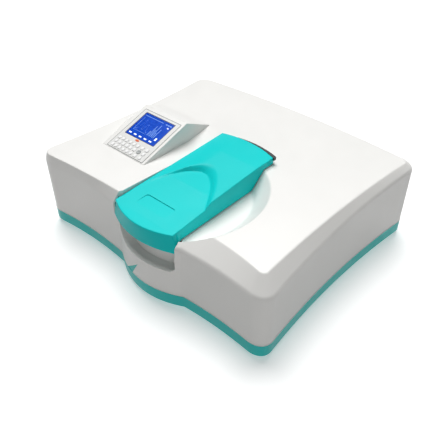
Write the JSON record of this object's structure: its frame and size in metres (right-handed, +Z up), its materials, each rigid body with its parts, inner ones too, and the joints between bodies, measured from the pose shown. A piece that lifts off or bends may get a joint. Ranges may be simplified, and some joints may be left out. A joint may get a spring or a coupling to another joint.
{
  "type": "spectrophotometer",
  "caption": "Benchtop spectrophotometer: white case on a teal tray, hinged teal sample lid over a sunken round dish, sloping keypad and display console at the left.",
  "frame": {"origin": "on the bench under the middle of the whole instrument's box", "axes": "+X to the operator's right, +Y to the rear, +Z up"},
  "size_m": [0.4934, 0.433, 0.1807],
  "materials": {
    "white_plastic": "warm white moulded plastic, fine satin grain",
    "teal_plastic": "teal moulded plastic, satin",
    "lid_plastic": "bright teal moulded plastic, semi-gloss",
    "panel_film": "light grey printed film",
    "key_rubber": "white silicone keys",
    "grey_key": "grey silicone key",
    "display_glass": "blue graphic display behind a clear window",
    "black_plastic": "black moulded plastic",
    "rubber": "dark rubber",
    "steel": "plain steel",
    "black_metal": "matt black painted metal",
    "circuit_board": "green solder mask",
    "quartz": "clear quartz",
    "mirror": "front-surface mirror"
  },
  "bodies": {
    "case": {"top_case": "white_plastic", "base_tray": "teal_plastic", "foot_front_left": "rubber", "foot_front_right": "rubber", "foot_rear_left": "rubber", "foot_rear_right": "rubber", "console_bezel": "panel_film", "display_window": "display_glass", "display_module": "black_plastic", "key_board": "circuit_board", "hinge_pin": "steel", "hinge_bracket_left": "steel", "hinge_bracket_right": "steel", "sample_tub": "black_plastic", "optical_plate": "black_metal", "lamp_housing": "black_metal", "deuterium_lamp": "quartz", "tungsten_lamp": "quartz", "collimating_mirror": "mirror", "detector_housing": "black_metal", "main_board": "circuit_board", "power_supply": "steel", "fan_frame": "black_plastic", "power_inlet": "black_plastic", "switch_frame": "black_plastic", "data_port": "steel"},
    "lid": {"sample_lid": "lid_plastic"},
    "carriage": {"cuvette_carriage": "black_metal", "cuvette_sample": "quartz", "cuvette_reference": "quartz"},
    "screw": {"lead_screw": "steel"},
    "source_mirror": {"source_mirror": "mirror"},
    "filter_wheel": {"filter_wheel": "black_metal"},
    "grating": {"grating_turret": "steel"},
    "fan": {"fan_rotor": "black_plastic"},
    "rocker": {"power_rocker": "black_plastic"},
    "key_row1_column1": {"key_row1_column1": "key_rubber"},
    "key_row1_column2": {"key_row1_column2": "key_rubber"},
    "key_row1_column3": {"key_row1_column3": "key_rubber"},
    "key_row1_column4": {"key_row1_column4": "key_rubber"},
    "key_row1_column5": {"key_row1_column5": "key_rubber"},
    "key_row1_column6": {"key_row1_column6": "key_rubber"},
    "key_row1_column7": {"key_row1_column7": "key_rubber"},
    "key_row1_column8": {"key_row1_column8": "key_rubber"},
    "key_row2_column1": {"key_row2_column1": "key_rubber"},
    "key_row2_column2": {"key_row2_column2": "key_rubber"},
    "key_row2_column3": {"key_row2_column3": "key_rubber"},
    "key_row2_column4": {"key_row2_column4": "key_rubber"},
    "key_row2_column5": {"key_row2_column5": "key_rubber"},
    "key_row2_column6": {"key_row2_column6": "key_rubber"},
    "key_select": {"key_select": "grey_key"},
    "key_row2_column8": {"key_row2_column8": "key_rubber"},
    "key_row3_column1": {"key_row3_column1": "key_rubber"},
    "key_row3_column2": {"key_row3_column2": "key_rubber"},
    "key_row3_column3": {"key_row3_column3": "key_rubber"},
    "key_row3_column4": {"key_row3_column4": "key_rubber"},
    "key_row3_column5": {"key_row3_column5": "key_rubber"},
    "key_row3_column6": {"key_row3_column6": "key_rubber"},
    "key_row3_column7": {"key_row3_column7": "key_rubber"},
    "key_row3_column8": {"key_row3_column8": "key_rubber"}
  },
  "joints": [
    {"name": "lid_hinge", "type": "hinge", "parent": "case", "child": "lid", "pos_m": [0.017, 0.045, 0.1532], "axis": [-1, 0, 0], "range_deg": [0, 95]},
    {"name": "screw_turn", "type": "hinge", "parent": "case", "child": "screw", "pos_m": [0.036, -0.09, 0.042], "axis": [0, 1, 0], "range_deg": [0, 1080]},
    {"name": "carriage_slide", "type": "slide", "parent": "case", "child": "carriage", "axis": [0, 1, 0], "range_m": [0, 0.0541]},
    {"name": "source_mirror_turn", "type": "hinge", "parent": "case", "child": "source_mirror", "pos_m": [0.15, 0.125, 0.0203], "axis": [0, 0, 1], "range_deg": [0, 35]},
    {"name": "filter_wheel_turn", "type": "hinge", "parent": "case", "child": "filter_wheel", "pos_m": [0.095, 0.125, 0.075], "axis": [1, 0, 0], "continuous": true},
    {"name": "grating_turn", "type": "hinge", "parent": "case", "child": "grating", "pos_m": [-0.02, 0.12, 0.0203], "axis": [0, 0, 1], "range_deg": [-30, 30]},
    {"name": "fan_turn", "type": "hinge", "parent": "case", "child": "fan", "pos_m": [0.06, 0.194, 0.078], "axis": [0, 1, 0], "continuous": true},
    {"name": "switch_rock", "type": "hinge", "parent": "case", "child": "rocker", "pos_m": [-0.105, 0.21041, 0.07], "axis": [1, 0, 0], "range_deg": [0, 14]},
    {"name": "key_row1_column1_press", "type": "slide", "parent": "case", "child": "key_row1_column1", "axis": [0, 0.3173, -0.9483], "range_m": [0, 0.001], "stiffness_N_per_m": 300},
    {"name": "key_row1_column2_press", "type": "slide", "parent": "case", "child": "key_row1_column2", "axis": [0, 0.3173, -0.9483], "range_m": [0, 0.001], "stiffness_N_per_m": 300},
    {"name": "key_row1_column3_press", "type": "slide", "parent": "case", "child": "key_row1_column3", "axis": [0, 0.3173, -0.9483], "range_m": [0, 0.001], "stiffness_N_per_m": 300},
    {"name": "key_row1_column4_press", "type": "slide", "parent": "case", "child": "key_row1_column4", "axis": [0, 0.3173, -0.9483], "range_m": [0, 0.001], "stiffness_N_per_m": 300},
    {"name": "key_row1_column5_press", "type": "slide", "parent": "case", "child": "key_row1_column5", "axis": [0, 0.3173, -0.9483], "range_m": [0, 0.001], "stiffness_N_per_m": 300},
    {"name": "key_row1_column6_press", "type": "slide", "parent": "case", "child": "key_row1_column6", "axis": [0, 0.3173, -0.9483], "range_m": [0, 0.001], "stiffness_N_per_m": 300},
    {"name": "key_row1_column7_press", "type": "slide", "parent": "case", "child": "key_row1_column7", "axis": [0, 0.3173, -0.9483], "range_m": [0, 0.001], "stiffness_N_per_m": 300},
    {"name": "key_row1_column8_press", "type": "slide", "parent": "case", "child": "key_row1_column8", "axis": [0, 0.3173, -0.9483], "range_m": [0, 0.001], "stiffness_N_per_m": 300},
    {"name": "key_row2_column1_press", "type": "slide", "parent": "case", "child": "key_row2_column1", "axis": [0, 0.3173, -0.9483], "range_m": [0, 0.001], "stiffness_N_per_m": 300},
    {"name": "key_row2_column2_press", "type": "slide", "parent": "case", "child": "key_row2_column2", "axis": [0, 0.3173, -0.9483], "range_m": [0, 0.001], "stiffness_N_per_m": 300},
    {"name": "key_row2_column3_press", "type": "slide", "parent": "case", "child": "key_row2_column3", "axis": [0, 0.3173, -0.9483], "range_m": [0, 0.001], "stiffness_N_per_m": 300},
    {"name": "key_row2_column4_press", "type": "slide", "parent": "case", "child": "key_row2_column4", "axis": [0, 0.3173, -0.9483], "range_m": [0, 0.001], "stiffness_N_per_m": 300},
    {"name": "key_row2_column5_press", "type": "slide", "parent": "case", "child": "key_row2_column5", "axis": [0, 0.3173, -0.9483], "range_m": [0, 0.001], "stiffness_N_per_m": 300},
    {"name": "key_row2_column6_press", "type": "slide", "parent": "case", "child": "key_row2_column6", "axis": [0, 0.3173, -0.9483], "range_m": [0, 0.001], "stiffness_N_per_m": 300},
    {"name": "key_select_press", "type": "slide", "parent": "case", "child": "key_select", "axis": [0, 0.3173, -0.9483], "range_m": [0, 0.001], "stiffness_N_per_m": 300},
    {"name": "key_row2_column8_press", "type": "slide", "parent": "case", "child": "key_row2_column8", "axis": [0, 0.3173, -0.9483], "range_m": [0, 0.001], "stiffness_N_per_m": 300},
    {"name": "key_row3_column1_press", "type": "slide", "parent": "case", "child": "key_row3_column1", "axis": [0, 0.3173, -0.9483], "range_m": [0, 0.001], "stiffness_N_per_m": 300},
    {"name": "key_row3_column2_press", "type": "slide", "parent": "case", "child": "key_row3_column2", "axis": [0, 0.3173, -0.9483], "range_m": [0, 0.001], "stiffness_N_per_m": 300},
    {"name": "key_row3_column3_press", "type": "slide", "parent": "case", "child": "key_row3_column3", "axis": [0, 0.3173, -0.9483], "range_m": [0, 0.001], "stiffness_N_per_m": 300},
    {"name": "key_row3_column4_press", "type": "slide", "parent": "case", "child": "key_row3_column4", "axis": [0, 0.3173, -0.9483], "range_m": [0, 0.001], "stiffness_N_per_m": 300},
    {"name": "key_row3_column5_press", "type": "slide", "parent": "case", "child": "key_row3_column5", "axis": [0, 0.3173, -0.9483], "range_m": [0, 0.001], "stiffness_N_per_m": 300},
    {"name": "key_row3_column6_press", "type": "slide", "parent": "case", "child": "key_row3_column6", "axis": [0, 0.3173, -0.9483], "range_m": [0, 0.001], "stiffness_N_per_m": 300},
    {"name": "key_row3_column7_press", "type": "slide", "parent": "case", "child": "key_row3_column7", "axis": [0, 0.3173, -0.9483], "range_m": [0, 0.001], "stiffness_N_per_m": 300},
    {"name": "key_row3_column8_press", "type": "slide", "parent": "case", "child": "key_row3_column8", "axis": [0, 0.3173, -0.9483], "range_m": [0, 0.001], "stiffness_N_per_m": 300}
  ],
  "couplings": [
    {"joint": "carriage_slide", "follows": "screw_turn", "m_per_rad": 0.0028648}
  ]
}
